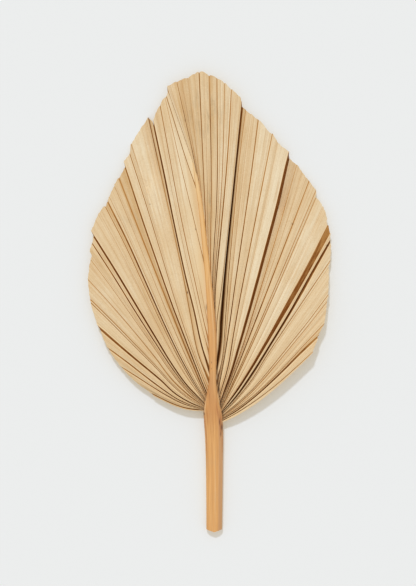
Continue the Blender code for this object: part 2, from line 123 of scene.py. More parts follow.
# Places along the stalk and midrib: left and right edge, height of the underside and of the top.
STALK_OUTLINE = (
    (-110.0, -6.6, 7.9, 0.0, 7.6),
    (-84.0, -6.7, 8.3, 0.0, 8.2),
    (-56.0, -7.0, 8.6, 0.2, 8.8),
    (-29.0, -7.7, 8.9, 0.6, 9.6),
    (-15.0, -8.6, 8.8, 0.9, 10.4),
    (-6.4, -9.1, 8.6, 1.1, 11.0),
    (-0.9, -9.2, 7.4, 1.4, 11.2),
    (7.3, -7.8, 5.8, 2.4, 11.2),
    (16.4, -5.9, 3.9, 3.8, 11.1),
    (25.5, -4.3, 2.9, 5.0, 11.0),
    (34.6, -3.9, 2.8, 5.6, 11.0),
    (52.8, -4.6, 3.1, 5.9, 11.0),
    (71.0, -5.1, 2.6, 6.2, 11.0),
    (109.2, -7.0, -0.9, 6.4, 11.0),
    (143.8, -9.9, -4.9, 6.5, 10.8),
    (180.2, -13.4, -9.1, 6.8, 10.6),
    (207.5, -17.1, -13.6, 7.2, 10.2),
    (217.0, -18.3, -16.3, 7.6, 9.8),
    (226.0, -19.6, -19.4, 8.0, 9.4),
)
STALK_END = STALK_OUTLINE[0][0]
MIDRIB_TIP = STALK_OUTLINE[-1][0]
TIP_RELIEF = 2.5  # the midrib stops this much short of where its two sides would meet
STALK_CUT_POINT = 2.4  # the shears left the middle of the cut end this much longer
LAST_LEFT_FOLD = -8.6  # folds from here to the left grow from the midrib's left side

# How a groove is coloured at each of COLOUR_PLACES, from the midrib out: how brown, which is partly the
# leaf's own staining along its folds and partly painted shade on walls turned from the light, and how dark,
# which is painted shade in the groove. Then how far the brown reaches to the left and to the right as
# shares of its walls, how pale the ridges on its two sides are, as painted highlight, how much wider its
# middle is than straight walls would make it, how broad the dark is, and how much of its width at the cut
# edge it would keep right down to the midrib.
COLOUR_PLACES = (0.08, 0.3, 0.6, 0.86, 1.0)
NO_COLOUR = (0.0,) * len(COLOUR_PLACES)
Line = namedtuple(
    "Line", "brown dark low high left_ridge right_ridge bulge breadth held", defaults=(0.0, 0.5, 0.75)
)
FAINT = Line((0.6, 0.45, 0.25, 0.2, 0.2), (0.2, 0.05, 0.0, 0.0, 0.0), -0.6, 0.6, 0.3, 0.3)
SOFT = Line((0.8, 0.6, 0.4, 0.35, 0.35), (0.3, 0.05, 0.0, 0.0, 0.0), -1.1, 1.1, 0.4, 0.4)
SOFT_BAND = Line((0.8, 0.65, 0.55, 0.5, 0.5), (0.3, 0.05, 0.0, 0.0, 0.0), -1.3, 1.2, 0.4, 0.5, 0.1)
THIN = Line((0.95, 0.75, 0.55, 0.5, 0.45), (0.5, 0.1, 0.0, 0.0, 0.0), -0.7, 0.7, 0.6, 0.6)
PALE_SIDED = Line((0.95, 0.8, 0.65, 0.6, 0.55), (0.5, 0.1, 0.0, 0.0, 0.0), -0.8, 0.7, 0.3, 0.9)
FIRM = Line((1.0, 0.95, 0.8, 0.7, 0.6), (0.7, 0.25, 0.0, 0.0, 0.0), -0.7, 0.7, 0.7, 0.6, 0.1)
DEEPENING = Line((1.0, 0.9, 0.7, 0.5, 0.45), (0.8, 0.3, 0.0, 0.0, 0.0), -0.8, 0.8, 0.7, 0.5, 0.2)
RIDGE = Line((0.2, 0.0, 0.0, 0.0, 0.0), NO_COLOUR, -0.5, 0.5, 0.0, 0.0)
GOLD_RIDGE = Line((0.3, 0.0, 0.0, 0.3, 0.5), NO_COLOUR, -0.8, 0.8, 0.0, 0.0)
RIM_LINE = Line((0.5, 0.5, 0.6, 0.65, 0.65), NO_COLOUR, -0.6, 0.6, 0.3, 0.3)
PATCHY = Line((0.6, 0.5, 0.8, 0.8, 0.45), (0.1, 0.0, 0.0, 0.0, 0.0), -0.9, 0.9, 0.3, 0.3)
LOWEST_LINE = Line((0.95, 0.8, 0.75, 0.75, 0.7), (0.4, 0.1, 0.0, 0.0, 0.0), -0.7, 0.7, 0.4, 0.4, 0.2)
LEFT_BAND = Line((1.0, 0.9, 0.9, 0.9, 0.85), (0.7, 0.3, 0.0, 0.0, 0.1), -0.7, 0.55, 0.6, 0.7, 0.0, 0.5, 0.3)
TAN_LINE = Line((0.95, 0.85, 0.75, 0.75, 0.7), (0.5, 0.1, 0.0, 0.0, 0.0), -0.8, 0.8, 0.6, 0.6, 0.1)
LEFT_FIRM = Line((1.0, 1.0, 0.95, 0.85, 0.8), (0.7, 0.5, 0.1, 0.0, 0.0), -0.8, 0.8, 0.8, 0.8, 0.2, 0.6)
LEFT_STRONG = Line((1.0, 1.0, 1.0, 0.95, 0.95), (0.7, 0.4, 0.05, 0.0, 0.0), -0.8, 0.8, 0.7, 0.7, 0.1, 0.6)
LEFT_DARK = Line((1.0, 1.0, 1.0, 0.75, 0.6), (0.7, 0.4, 0.1, 0.0, 0.0), -0.8, 0.7, 0.5, 0.8, 0.1, 0.6)
RIDGED = Line((1.0, 0.9, 0.85, 0.8, 0.7), (0.6, 0.2, 0.0, 0.0, 0.0), -0.8, 0.7, 0.5, 1.0, 0.1)
LEFT_FORK = Line((0.8, 0.7, 0.35, 0.9, 0.95), (0.3, 0.1, 0.0, 0.0, 0.0), -1.3, 1.2, 0.4, 0.2)
BLACK_LEFT = Line((0.9, 0.8, 1.0, 1.0, 0.9), (0.3, 0.2, 0.45, 0.4, 0.1), -0.8, 0.6, 0.6, 0.9, 0.2, 0.7)
GOLDEN = Line((0.75, 0.75, 0.65, 0.5, 0.4), (0.1, 0.0, 0.0, 0.0, 0.0), -1.0, 0.4, 0.2, 1.0, 0.3)
TIP_LINE = Line((0.6, 0.7, 0.75, 0.7, 0.6), (0.1, 0.1, 0.15, 0.15, 0.2), -0.6, 0.6, 0.8, 0.8)
GREY_LINE = Line((0.5, 0.45, 0.5, 0.6, 0.6), (0.3, 0.2, 0.2, 0.25, 0.2), -0.6, 0.6, 0.4, 0.3)
RIGHT_FORK = Line((0.9, 1.0, 0.1, 0.0, 0.0), (0.3, 0.2, 0.0, 0.0, 0.0), -0.9, 0.9, 0.5, 0.2)
BLACK_RIGHT = Line((0.9, 1.0, 1.0, 1.0, 0.9), (0.7, 1.0, 1.0, 0.3, 0.0), -1.1, 1.1, 1.0, 0.5, 1.1, 2.4)
DARK_ROOT = Line((1.0, 0.95, 0.65, 0.5, 0.5), (0.8, 0.5, 0.0, 0.0, 0.0), -0.7, 0.7, 0.8, 0.7, 0.2, 0.6)
RIGHT_STRONG = Line(
    (1.0, 1.0, 1.0, 1.0, 1.0), (0.9, 0.7, 0.45, 0.15, 0.1), -1.1, 1.4, 1.0, 0.5, 0.35, 0.9, 0.5
)
WARM_ROOT = Line((1.0, 0.95, 0.7, 0.45, 0.4), (0.8, 0.3, 0.0, 0.0, 0.0), -0.9, 0.9, 0.6, 0.6, 0.4, 0.6)
RIGHT_BAND = Line(
    (1.0, 1.0, 0.95, 0.85, 0.7), (0.9, 0.35, 0.0, 0.0, 0.0), -1.2, 0.9, 0.9, 0.7, 0.5, 0.5, 0.15
)
RIGHT_DARK = Line((1.0, 1.0, 1.0, 0.95, 0.9), (1.0, 1.0, 0.8, 0.3, 0.5), -1.0, 1.0, 0.7, 0.8, 1.2, 1.3, 0.9)
LOW_BAND = Line((1.0, 1.0, 0.95, 0.8, 0.7), (0.8, 0.4, 0.0, 0.0, 0.0), -1.1, 0.6, 0.5, 0.7, 0.3, 0.5, 0.35)

# The grooves, clockwise from the lower left: how far out the cut edge lies at the groove's left crest, at
# its bottom and at its right crest, the widths of its two walls there, its depth in the plain solid, where
# a ridge is negative, its root's place along the fan, and how it is coloured.
Groove = namedtuple("Groove", "angle left_reach reach right_reach left_wall right_wall depth root line")
GROOVE_ROWS = (
    (-76.5, 56.5, 57.5, 60.0, 0.9, 1.1, 2.4, -1.4, LOWEST_LINE),
    (-65.7, 90.5, 92.0, 94.0, 0.9, 0.9, 1.8, -1.0, FIRM),
    (-60.2, 108.5, 110.5, 112.5, 1.1, 1.1, 2.4, -0.5, FIRM),
    (-55.0, 124.0, 126.0, 131.0, 1.3, 2.0, 3.6, 0.0, LEFT_BAND),
    (-49.2, 146.5, 147.0, 147.5, 0.7, 0.7, 1.4, 0.6, TAN_LINE),
    (-48.4, 149.5, 149.5, 151.0, 1.2, 0.8, 1.6, 1.2, RIM_LINE),
    (-44.2, 163.0, 163.5, 164.5, 0.7, 0.7, 1.5, 1.9, SOFT),
    (-39.5, 175.5, 175.5, 176.0, 0.5, 0.5, 1.0, 2.6, THIN),
    (-38.4, 178.0, 178.5, 181.5, 0.5, 0.5, 1.0, 3.2, RIDGE),
    (-36.3, 186.0, 186.5, 187.5, 0.9, 0.9, 1.8, 3.9, LEFT_FIRM),
    (-34.8, 190.0, 190.5, 196.5, 1.3, 1.4, 3.6, 4.6, LEFT_STRONG),
    (-30.2, 206.5, 206.0, 206.5, 0.5, 0.5, 1.0, 5.8, FAINT),
    (-28.2, 209.5, 207.5, 208.5, 0.8, 0.8, 1.6, 6.6, THIN),
    (-27.1, 211.0, 211.5, 213.5, 1.3, 1.3, 2.8, 7.4, LEFT_DARK),
    (-26.2, 214.5, 214.0, 215.0, 0.6, 0.6, 1.2, 8.4, FAINT),
    (-24.0, 221.5, 221.0, 223.0, 0.6, 0.6, 1.2, 9.8, FAINT),
    (-22.3, 226.5, 226.0, 227.0, 0.8, 0.9, 1.6, 11.2, SOFT_BAND),
    (-20.1, 233.0, 233.5, 239.5, 1.2, 1.2, 2.6, 13.2, RIDGED),
    (-18.2, 243.5, 244.5, 246.0, 0.8, 0.8, 1.6, 16.2, GREY_LINE),
    (-17.3, 252.5, 252.5, 253.0, 0.5, 0.5, -0.8, 19.2, GOLD_RIDGE),
    (-12.6, 271.8, 271.8, 271.0, 0.5, 0.5, 1.0, 24.0, LEFT_FORK),
    (-11.9, 267.5, 263.0, 269.5, 1.2, 1.3, 3.8, 33.0, BLACK_LEFT),
    (-10.9, 275.0, 274.5, 275.5, 0.4, 0.4, 0.8, 50.0, FAINT),
    (-10.0, 279.5, 280.0, 281.5, 0.8, 0.8, 1.6, 60.0, RIM_LINE),
    (-9.2, 285.0, 285.0, 285.5, 0.4, 0.4, -0.6, 75.0, RIDGE),
    (-8.85, 286.5, 286.5, 286.5, 0.4, 0.4, 0.8, 132.0, GOLDEN),
    (-8.6, 287.0, 287.0, 288.0, 0.7, 0.7, 1.4, 199.0, TIP_LINE),
    (-8.2, 290.0, 293.5, 296.0, 0.4, 0.4, 1.0, 221.5, TIP_LINE),
    (-6.4, 299.5, 299.0, 299.5, 0.6, 0.6, 1.2, 204.0, FIRM),
    (-5.6, 300.5, 300.0, 300.5, 0.4, 0.4, 0.8, 197.0, FAINT),
    (-4.4, 302.0, 301.5, 302.0, 0.4, 0.4, 0.6, 184.0, FAINT),
    (-2.45, 306.0, 305.0, 306.5, 1.0, 1.0, 2.2, 154.0, GREY_LINE),
    (-1.6, 306.5, 306.0, 306.0, 0.4, 0.4, 0.8, 136.0, FAINT),
    (-0.7, 303.0, 302.5, 303.0, 0.7, 0.7, 1.4, 120.0, PATCHY),
    (0.6, 301.0, 300.5, 300.0, 0.8, 0.8, 1.6, 104.0, FIRM),
    (1.2, 298.5, 298.0, 298.5, 0.5, 0.5, 1.0, 95.0, FAINT),
    (1.95, 296.0, 295.5, 296.0, 0.7, 0.7, 1.4, 85.0, THIN),
    (3.2, 291.5, 290.5, 290.5, 0.9, 0.9, 1.8, 75.0, DEEPENING),
    (4.95, 284.0, 283.5, 283.0, 0.5, 0.4, 1.0, 50.0, RIGHT_FORK),
    (5.4, 281.0, 276.0, 275.0, 1.3, 1.4, 5.0, 33.0, BLACK_RIGHT),
    (6.15, 273.5, 273.0, 272.5, 0.6, 0.6, 1.2, 20.0, DARK_ROOT),
    (7.2, 270.5, 270.0, 270.3, 0.5, 0.5, 0.8, 17.0, FAINT),
    (8.8, 266.5, 266.0, 265.5, 0.9, 0.9, 1.8, 14.5, FIRM),
    (11.2, 257.5, 257.3, 257.0, 0.4, 0.4, -0.5, 11.5, RIDGE),
    (12.1, 255.8, 255.5, 255.5, 0.8, 0.8, 1.6, 9.4, DEEPENING),
    (13.6, 249.3, 249.0, 248.7, 0.4, 0.4, 0.6, 7.4, FAINT),
    (16.8, 243.5, 239.0, 238.5, 1.8, 0.6, 1.0, 4.6, RIGHT_STRONG),
    (18.9, 235.0, 234.8, 234.8, 0.5, 0.5, -0.6, 3.2, WARM_ROOT),
    (20.8, 229.8, 229.5, 229.3, 0.5, 0.5, 0.8, 2.2, FAINT),
    (22.8, 225.0, 224.5, 224.0, 0.9, 0.9, 1.8, 1.2, DEEPENING),
    (25.2, 219.5, 219.0, 218.0, 0.7, 0.7, 1.4, 0.2, SOFT),
    (25.95, 214.0, 213.5, 214.0, 0.7, 0.7, 1.4, -0.5, SOFT),
    (28.4, 209.5, 209.0, 209.5, 0.4, 0.4, 0.6, -1.3, FAINT),
    (31.0, 201.5, 200.5, 199.5, 0.4, 0.4, -0.4, -2.0, RIDGE),
    (33.4, 197.0, 192.3, 191.5, 4.9, 1.3, 3.0, -2.8, RIGHT_BAND),
    (34.9, 187.0, 185.5, 184.5, 1.3, 1.3, 3.2, -3.7, RIGHT_DARK),
    (38.3, 172.0, 171.0, 170.0, 0.7, 0.7, 1.5, -4.7, PALE_SIDED),
    (39.2, 166.5, 166.0, 164.5, 0.6, 0.6, 1.2, -5.4, RIDGE),
    (45.2, 147.0, 146.5, 146.5, 0.7, 0.7, 1.5, -6.3, THIN),
    (46.6, 142.5, 142.0, 141.0, 0.6, 0.6, 1.3, -7.0, SOFT),
    (49.3, 134.8, 134.5, 134.0, 0.4, 0.4, 0.6, -7.7, FAINT),
    (52.4, 127.5, 126.5, 126.0, 0.7, 0.7, 1.5, -8.4, THIN),
    (55.4, 116.5, 114.5, 113.5, 1.6, 1.3, 2.7, -9.3, LOW_BAND),
    (60.0, 103.7, 103.3, 103.0, 0.6, 0.6, 1.2, -10.6, FIRM),
)
GROOVES = [Groove(*row) for row in GROOVE_ROWS]
Margin = namedtuple("Margin", "angle reach root")
LEFT_MARGIN = Margin(-78.2, 55.5, -2.0)
RIGHT_MARGIN = Margin(60.9, 101.2, -12.2)

# How pale the faces between the grooves are, by angle: below 0 they are golden, above it creamy. This is
# partly the leaf's own tone and partly painted light and shade for how each face is tilted to the light.
FACE_TONES = (
    (-77.0, -0.3), (-70.0, -0.2), (-62.0, -0.2), (-57.0, -0.1), (-52.0, 0.0), (-46.0, 0.1),
    (-41.0, 0.1), (-37.5, -0.1), (-35.7, -0.3), (-33.3, 0.1), (-31.0, 0.0), (-29.2, -0.2),
    (-28.2, -0.9), (-27.4, -1.1), (-26.7, 0.0), (-25.0, 0.1), (-23.7, -0.1), (-22.6, -0.6),
    (-20.4, -0.8), (-19.6, 0.2), (-18.5, 0.3), (-17.6, 0.2), (-17.0, 0.4), (-15.0, 0.6),
    (-13.2, 0.3), (-12.8, -0.5), (-12.0, -0.8), (-11.4, 0.4), (-10.4, 0.2), (-9.5, 0.6),
    (-8.9, 0.5), (-8.4, 0.8), (-7.5, -0.1), (-6.0, -0.4), (-4.5, -0.3), (-3.0, -0.3),
    (-2.0, 0.0), (-0.3, -0.4), (0.9, 0.2), (1.6, 0.4), (2.6, 0.6), (4.3, 0.8),
    (5.8, -0.7), (6.6, -0.3), (8.0, 0.1), (10.0, 0.4), (12.5, 0.3), (15.0, 0.9),
    (16.3, 0.8), (17.8, 0.0), (19.5, -0.2), (21.8, 0.2), (23.8, 0.0), (26.5, 0.4),
    (29.5, 0.7), (31.0, 0.5), (33.8, 0.1), (34.4, 0.0), (36.5, 0.4), (41.0, 0.3),
    (46.0, 0.1), (52.0, 0.1), (53.3, -0.5), (54.4, -0.7), (57.0, -0.1), (60.5, -0.1),
)
BASE_GOLD = 1.0  # how much more golden the faces are beside the midrib
HOLLOW_SHADE = 3.0  # and the grooves between them, which is painted shade
BASE_RIDGE_HIGHLIGHT = 1.6  # how much stronger the painted highlight on the ridges is there
BASE_HIGHLIGHT = 0.9  # and how much painted highlight everything outside the grooves gets right at the midrib
EDGE_GOLD = 1.5  # how much more golden the leaf is along the midrib's two edges
EDGE_WIDTH = 7.0  # of those golden strips
EDGE_END = 50.0  # distance from the midrib's tip at which that is full
EDGE_PLACES = 100  # places along the midrib at which its edges are looked up

# The finer shape.
LEAF_SHEET = 0.4  # thickness of the dried leaf
STATIONS = 50  # spans from the midrib to the cut edge
CROWDING = 1.25  # above 1, the spans shorten towards the midrib
STEEPEST = 3.4  # rise over run of the steepest wall
WALL_STEPS = 2.4  # a groove is no deeper than the steepest wall falls over this many steps between columns
MOST_SLANTED = 2.2  # a wall measures at most this many times the leaf's thickness straight down
LEAST_STEP = 0.02  # between two columns, where the slope between them is worked out
# How deep the finer grooves are against the plain solid's, by the plain depth.
DEPTH_SHARES = ((1.2, 0.45), (2.0, 0.5), (3.5, 0.42), (5.0, 0.5))
# Places across a groove that get a column: 0 is its bottom, and -1 and 1 are the crests of its walls.
PROFILE = (-1.8, -1.45, -1.15, -0.85, -0.55, -0.25, 0.0, 0.25, 0.55, 0.85, 1.15, 1.45, 1.8)
NARROW_PROFILE = (-1.7, -1.35, -0.95, -0.5, 0.0, 0.5, 0.95, 1.35, 1.7)
NARROW_STEP = 0.3  # the narrow profile's steps are longer than this
NARROW_GROOVE = 1.5  # up to this width between crests, a groove has the narrow profile
WALL_NARROWING = 0.62  # the finer grooves' walls against the plain solid's
WIDE_WALL = 1.8  # a wall from this width on isn't narrowed
GROOVE_ROUNDING = 1.1  # above 1, the bottom of a groove is rounder
ROOT_SPREAD = 1.15  # the columns from this place across a groove on grow from one place on the midrib
RIDGE_PLACES = (1.1, 1.6)  # places across a groove between which its ridges get painted highlight
FACE_ASIDE = 0.15  # degrees further out at which a wall takes its tone from FACE_TONES
BAND_FADE = 0.45  # over this share of a wall, the brown fades out
BAND_FADE_POWER = 1.5  # above 1, it fades faster at first
BROWN_BROADENING = (2.6, 1.8, 1.0, 1.0, 1.0)  # how much broader that fading is, at each of COLOUR_PLACES
DARK_BROADENING = (2.2, 1.5, 1.0, 1.0, 1.0)  # and how much broader the dark is
FACE_STEP = 1.9  # width of the strips that a face is cut into at the cut edge
FACE_ROOT_STEP = 12.0  # and a face has a column for each such stretch of midrib that it grows from
CROWN_RISE = 0.55  # how much higher a face is along its middle
FULL_CROWN = 4.0  # width from which a face has the whole of that
CUT_ROUGHNESS = 0.6  # how far the shears strayed from the cut's line
TOOTH = 0.3  # degrees between one small tooth or notch of the cut edge and the next
WIDENED_FROM = 0.07  # share along the folds from which they are fully widened
WIDENED_TO = 0.06  # and share before the cut edge over which that fades out
GROOVE_ROOM = 0.76  # the halves of two neighbouring grooves take at most this much of the way between
RIM_FLATTENING = 0.4  # how much shallower the grooves are at the cut edge
TUCK = 0.5  # how far the leaf's root runs into the midrib's side, and at most a quarter of its width
RESTING_FROM = 0.8  # share along a resting face from which it lies flat

# One line of the finer leaf from the midrib to the cut edge. On a groove, across is the place across it
# and line is its colouring; on a face both are None.
Column = namedtuple(
    "Column",
    "distance angle reach drop tone brown dark pale across line",
    defaults=(NO_COLOUR, NO_COLOUR, 0.0, None, None),
)


def between(guides, place):
    """The value at a place, read straight between the guides on its two sides."""
    places, values = zip(*guides)
    return float(np.interp(place, places, values))


def smooth_row(rows, place):
    """The rows' other values at a place, on smooth curves through all of them."""
    places = [row[0] for row in rows]
    i = min(max(bisect_right(places, place) - 1, 0), len(rows) - 2)
    span = places[i + 1] - places[i]
    t = min(max((place - places[i]) / span, 0.0), 1.0)
    before, after = max(i - 1, 0), min(i + 2, len(rows) - 1)
    corners = zip(rows[before][1:], rows[i][1:], rows[i + 1][1:], rows[after][1:])
    values = []
    for low_before, low, high, high_after in corners:
        start = (high - low_before) / (places[i + 1] - places[before]) * span
        end = (high_after - low) / (places[after] - places[i]) * span
        values.append(
            low * (2 * t**3 - 3 * t**2 + 1)
            + start * (t**3 - 2 * t**2 + t)
            + high * (3 * t**2 - 2 * t**3)
            + end * (t**3 - t**2)
        )
    return values


def root_in_plan(distance):
    """The place in plan where a column leaves the midrib."""
    along = MIDRIB_TIP - abs(distance)
    left, right = smooth_row(STALK_OUTLINE, along)[:2]
    tuck = min(TUCK, (right - left) / 4)
    if distance < 0:
        return left + tuck, along
    if distance > 0:
        return right - tuck, along
    return left, along


def tip_distance(groove):
    return groove.root - MIDRIB_TIP if groove.angle <= LAST_LEFT_FOLD else MIDRIB_TIP - groove.root


def bow_rows(angle):
    """Rows of a place along a fold and how far it bows there, as shares of the fold's length."""
    bows = [between([(row[0], row[i]) for row in BOWS], angle) for i in range(1, len(BOWS[0]))]
    return [(0.0, 0.0)] + [(place, bow / 100) for place, bow in zip(BOW_PLACES, bows)] + [(1.0, 0.0)]


def narrowed(wall):
    return wall if wall >= WIDE_WALL else wall * WALL_NARROWING


def band(line, t):
    """How brown and how dark a place across the groove is, at each of COLOUR_PLACES."""
    outside = max(line.low - t, t - line.high, 0.0)
    browns = [
        value * max(1.0 - outside / (BAND_FADE * broader), 0.0) ** BAND_FADE_POWER
        for value, broader in zip(line.brown, BROWN_BROADENING)
    ]
    darks = [
        value * max(1.0 - abs(t) / (line.breadth * broader), 0.0)
        for value, broader in zip(line.dark, DARK_BROADENING)
    ]
    return tuple(browns), tuple(darks)


def groove_columns(groove, before, distance, after):
    """The columns of a groove, whose neighbours on the two sides have the distances before and after."""
    narrow = groove.left_wall + groove.right_wall < NARROW_GROOVE
    left_root = distance - WALL_SHARE * min(distance - before, LONG_ROOT / 2)
    right_root = distance + WALL_SHARE * min(after - distance, LONG_ROOT / 2)
    line = groove.line
    for t in NARROW_PROFILE if narrow else PROFILE:
        wall = narrowed(groove.right_wall if t > 0 else groove.left_wall)
        side_reach = groove.right_reach if t > 0 else groove.left_reach
        side_root = right_root if t > 0 else left_root
        inner = min(abs(t), 1.0)
        beyond = t if abs(t) < 1.0 else math.copysign(1.0 + (abs(t) - 1.0) * min(1.0, 1.0 / wall), t)
        reach = groove.reach + (side_reach - groove.reach) * inner
        angle = groove.angle + math.degrees(beyond * wall / reach)
        brown, dark = band(line, t)
        ridge = line.right_ridge if t > 0 else line.left_ridge
        ridge_from, ridge_to = RIDGE_PLACES
        yield Column(
            distance + (side_root - distance) * min(abs(t), ROOT_SPREAD),
            angle,
            reach,
            groove.depth * between(DEPTH_SHARES, groove.depth) * (1.0 - inner**GROOVE_ROUNDING),
            between(FACE_TONES, angle + math.copysign(FACE_ASIDE, t)),
            brown,
            dark,
            ridge if ridge_from < abs(t) < ridge_to else 0.0,
            t,
            line,
        )


def face_columns(start, end):
    """The columns of the face between two columns."""
    width = math.radians(end.angle - start.angle) * (start.reach + end.reach) / 2
    by_root = int((end.distance - start.distance) / FACE_ROOT_STEP)
    count = max(int(round(width / FACE_STEP)), by_root, 1)
    shares = np.arange(1, count + 1) / (count + 1)
    distances = [start.distance + (end.distance - start.distance) * share for share in shares]
    if start.distance < 0 < end.distance:
        distances = [start.distance * (1 - share) for share in shares[:-1]] + [0.0]
    for share, distance in zip(shares, distances):
        angle = start.angle + (end.angle - start.angle) * share
        reach = start.reach + (end.reach - start.reach) * share
        crown = 4 * share * (1 - share) * min(width / FULL_CROWN, 1.0) * CROWN_RISE
        yield Column(distance, angle, reach, -crown, between(FACE_TONES, angle))


def margin_column(margin, side):
    distance = side * (MIDRIB_TIP - margin.root)
    return Column(distance, margin.angle, margin.reach, 0.0, between(FACE_TONES, margin.angle))


def all_columns():
    distances = [tip_distance(groove) for groove in GROOVES]
    columns = [margin_column(LEFT_MARGIN, -1)]
    end = margin_column(RIGHT_MARGIN, 1)
    befores = [columns[0].distance] + distances
    afters = distances[1:] + [end.distance]
    for groove, before, distance, after in zip(GROOVES, befores, distances, afters):
        made = list(groove_columns(groove, before, distance, after))
        columns += face_columns(columns[-1], made[0])
        columns += made
    columns += face_columns(columns[-1], end)
    columns.append(end)
    return columns


def in_plan(columns, share):
    """Places in plan of every column at every station."""
    draw = np.random.default_rng(SEED)
    angle = np.array([c.angle for c in columns])
    teeth = np.arange(angle[0], angle[-1] + TOOTH, TOOTH)
    reach = np.array([c.reach for c in columns])
    reach += np.interp(angle, teeth, draw.uniform(-CUT_ROUGHNESS, CUT_ROUGHNESS, len(teeth)))
    turn = np.radians(angle)
    root = np.array([root_in_plan(c.distance) for c in columns])
    rim = np.stack([reach * np.sin(turn), reach * np.cos(turn)], 1)
    chord = rim - root
    left = np.stack([-chord[:, 1], chord[:, 0]], 1)
    bow = np.array([[smooth_row(bow_rows(c.angle), s)[0] for s in share] for c in columns])
    plan = root[:, None] + chord[:, None] * share[None, :, None] + left[:, None] * bow[..., None]
    return plan + widening(columns, plan, share)


def sideways(course):
    """The direction to the right, square to a column's course, at each station."""
    ahead = np.gradient(course, axis=0)
    return np.stack([ahead[:, 1], -ahead[:, 0]], 1) / np.linalg.norm(ahead, axis=1)[:, None]


def widening(columns, plan, share):
    """How far each column moves aside, so that the grooves keep more of their width towards the midrib."""
    moves = np.zeros_like(plan)
    middles = [i for i, column in enumerate(columns) if column.across == 0.0]
    lines = [0] + middles + [len(columns) - 1]
    settled = np.clip(share / WIDENED_FROM, 0.0, 1.0) * np.clip((1 - share) / WIDENED_TO, 0.0, 1.0)
    for before, after in zip(lines, lines[1:]):
        groups = [half_groove(columns, i, side) for i, side in ((before, 1), (after, -1)) if i in middles]
        widths = [half_width(columns, group) for group in groups]
        for group, width in zip(groups, widths):
            middle, half = group[0], group[1:]
            line = columns[middle].line
            bulged = (share + line.held * (1 - share)) * (1 + 4 * line.bulge * share * (1 - share))
            turns = np.array([columns[i].angle - columns[middle].angle for i in half])
            side_way = sideways(plan[middle])
            gap = np.abs(((plan[before] - plan[after]) * side_way).sum(1))
            room = np.minimum(width * bulged, GROOVE_ROOM * gap * width / sum(widths))
            wanted = np.sign(turns[-1]) * (turns / turns[-1])[:, None] * room
            offsets = ((plan[half] - plan[middle]) * side_way).sum(2)
            moves[half] = ((wanted - offsets) * settled)[..., None] * side_way
    carry_faces(columns, moves)
    return moves


def carry_faces(columns, moves):
    """Moves the columns of each face with the columns on its two sides."""
    start = 0
    while start < len(columns) - 1:
        end = start + 1
        while end < len(columns) - 1 and columns[end].across is None:
            end += 1
        for i in range(start + 1, end):
            step = (i - start) / (end - start)
            moves[i] = moves[start] * (1 - step) + moves[end] * step
        start = end


def half_groove(columns, middle, side):
    """The columns from a groove's middle to its outermost one on a side."""
    count = len(NARROW_PROFILE if columns[middle + 1].across > NARROW_STEP else PROFILE) // 2
    return [middle + side * i for i in range(count + 1)]


def half_width(columns, group):
    middle, outer = columns[group[0]], columns[group[-1]]
    return math.radians(abs(outer.angle - middle.angle)) * middle.reach


def beside_midrib(plan):
    """1 at the midrib's edges, and 0 from EDGE_WIDTH on and at the midrib's tip."""
    along = np.linspace(RIGHT_MARGIN.root, MIDRIB_TIP, EDGE_PLACES)
    left, right = np.array([smooth_row(STALK_OUTLINE, place)[:2] for place in along]).T
    x, y = plan[..., 0], plan[..., 1]
    gap = np.maximum(np.interp(y, along, left) - x, x - np.interp(y, along, right))
    return np.clip(1 - gap / EDGE_WIDTH, 0.0, 1.0) * np.clip((MIDRIB_TIP - y) / EDGE_END, 0.0, 1.0)


def column_of(values):
    return np.array(values)[:, None]


def on_both_sides(steps):
    """The steps from each column to the next one and to the one before."""
    return np.vstack([steps, steps[-1:]]), np.vstack([steps[:1], steps])


def heights(columns, plan, share):
    """How high the leaf's top is, and how thick it is straight down, at every station of every column."""
    drop = column_of([c.drop for c in columns]) * (1 - RIM_FLATTENING * share**4)
    rim_height = column_of([between(RIM_HEIGHTS, c.angle) for c in columns])
    faces = ROOT_HEIGHT + (rim_height - ROOT_HEIGHT) * share + ARCH * 4 * share * (1 - share)
    gap = np.linalg.norm(np.diff(plan, axis=0), axis=2)
    width = smooth_across(np.minimum(*on_both_sides(gap)), times=2)
    top = faces - np.sign(drop) * np.minimum(np.abs(drop), STEEPEST * width * WALL_STEPS)
    rise = np.abs(np.diff(top, axis=0)) / np.maximum(gap, LEAST_STEP)
    slope = np.maximum(*on_both_sides(rise))
    thick = LEAF_SHEET * np.minimum(np.sqrt(1 + slope**2), MOST_SLANTED)
    resting = column_of([any(low <= c.angle <= high for low, high in RESTING_FACES) for c in columns])
    flat = resting & (share >= RESTING_FROM)
    return np.where(flat, thick, np.maximum(top, thick + HOVER)), thick


